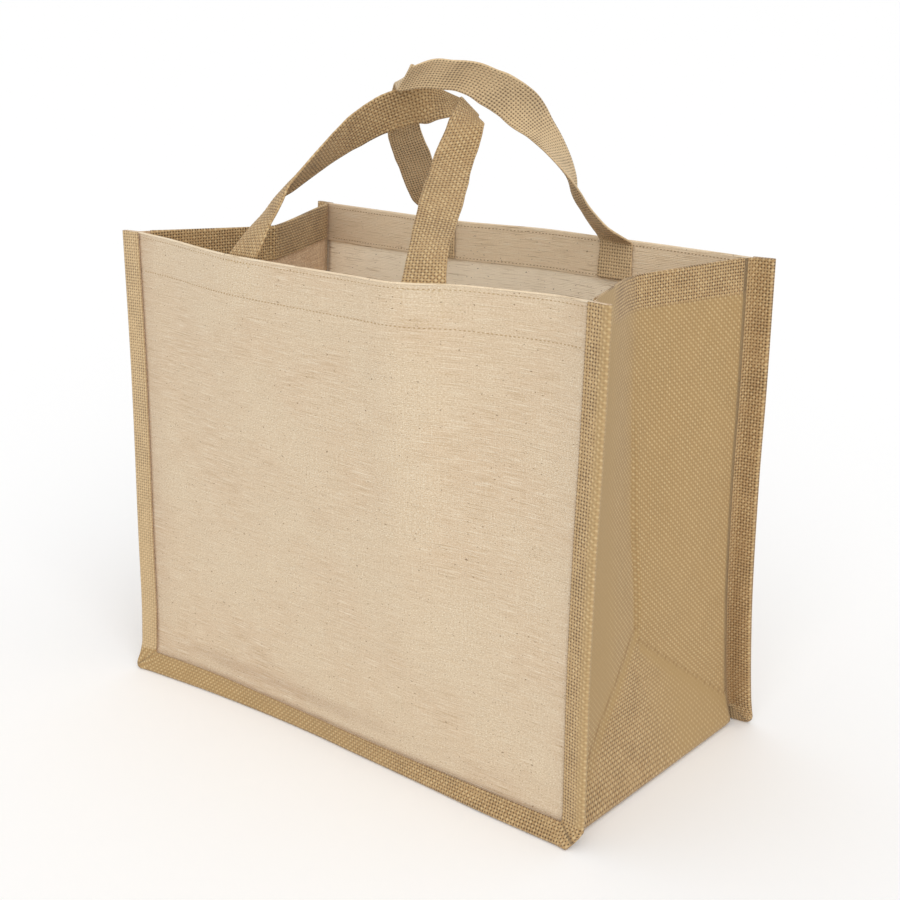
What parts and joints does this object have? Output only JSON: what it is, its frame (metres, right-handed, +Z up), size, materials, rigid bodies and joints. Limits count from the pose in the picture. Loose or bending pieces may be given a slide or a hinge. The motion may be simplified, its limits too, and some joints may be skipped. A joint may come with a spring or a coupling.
{
  "type": "jute beach bag",
  "caption": "Open-topped carrying bag of cream jute and cotton panels in a folded jute border, with jute gusset and webbing handles that cross over each other.",
  "frame": {"origin": "middle of the flat bottom, on the surface that the bag stands on", "axes": "+X along the front panel from left to right, +Y from the front panel to the back one, +Z up"},
  "size_m": [0.418, 0.2299, 0.4655],
  "materials": {
    "panel_cloth": "fine cream weave of jute and cotton, matt",
    "jute_cloth": "natural jute hessian with a laminated inner side",
    "webbing": "open woven jute webbing, matt"
  },
  "bodies": {
    "root": {"front_panel": "panel_cloth", "back_panel": "panel_cloth", "gusset": "jute_cloth", "front_handle": "webbing", "back_handle": "webbing"}
  },
  "joints": []
}
